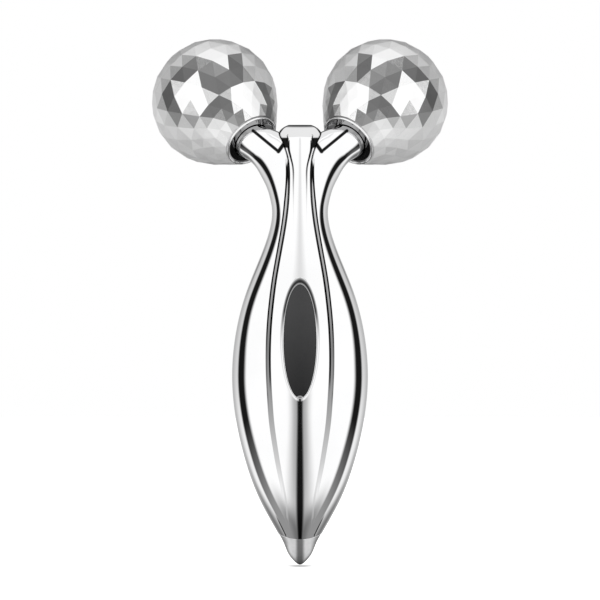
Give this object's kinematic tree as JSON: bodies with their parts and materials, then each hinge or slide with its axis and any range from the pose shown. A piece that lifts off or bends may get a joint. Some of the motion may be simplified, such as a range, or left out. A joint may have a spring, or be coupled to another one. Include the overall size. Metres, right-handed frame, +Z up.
{
  "type": "massage roller",
  "caption": "Y-shaped hand-held massage roller: a curved bright grip with a dark oval light window, a pointed tail cap and faceted drop-shaped balls that spin on leaning axles.",
  "frame": {"origin": "middle of the grip at its widest section, where the hand holds it", "axes": "+Z up along the grip from the tail to the balls, -Y out of the window side, +X to the right seen from the window side"},
  "size_m": [0.0914, 0.0581, 0.1628],
  "materials": {
    "chrome_body": "mirror bright plating",
    "chrome_ball": "bright plating on flat facets",
    "satin_cap": "satin plating",
    "window_dark": "smooth dark tinted",
    "rubber_black": "matt",
    "cell_dark": "dark cell with fine lines",
    "board_green": "solder mask",
    "component_black": "moulded",
    "wire_jacket": "smooth",
    "steel": "turned",
    "nylon_white": "moulded",
    "core_grey": "moulded"
  },
  "bodies": {
    "handle": {"front_shell": "chrome_body", "rear_shell": "chrome_body", "spine_cover": "chrome_body", "window_bezel": "chrome_body", "window_lens": "window_dark", "window_gasket": "rubber_black", "solar_cell": "cell_dark", "circuit_board": "board_green", "board_components": "component_black", "left_lead_wire": "wire_jacket", "right_lead_wire": "wire_jacket", "end_cap": "satin_cap", "shell_screws": "steel", "left_axle": "steel", "left_thrust_washer": "nylon_white", "left_axle_clip": "steel", "right_axle": "steel", "right_thrust_washer": "nylon_white", "right_axle_clip": "steel"},
    "left_roller": {"left_roller_shell": "chrome_ball", "left_mouth_ring": "chrome_body", "left_roller_core": "core_grey", "left_inner_bush": "nylon_white", "left_outer_bush": "nylon_white"},
    "right_roller": {"right_roller_shell": "chrome_ball", "right_mouth_ring": "chrome_body", "right_roller_core": "core_grey", "right_inner_bush": "nylon_white", "right_outer_bush": "nylon_white"}
  },
  "joints": [
    {"name": "left_roller_spin", "type": "hinge", "parent": "handle", "child": "left_roller", "pos_m": [-0.0264, 0.0261, 0.08602], "axis": [-0.5464, 0.6004, 0.5839], "continuous": true},
    {"name": "right_roller_spin", "type": "hinge", "parent": "handle", "child": "right_roller", "pos_m": [0.0264, 0.0261, 0.08602], "axis": [0.5464, 0.6004, 0.5839], "continuous": true}
  ]
}
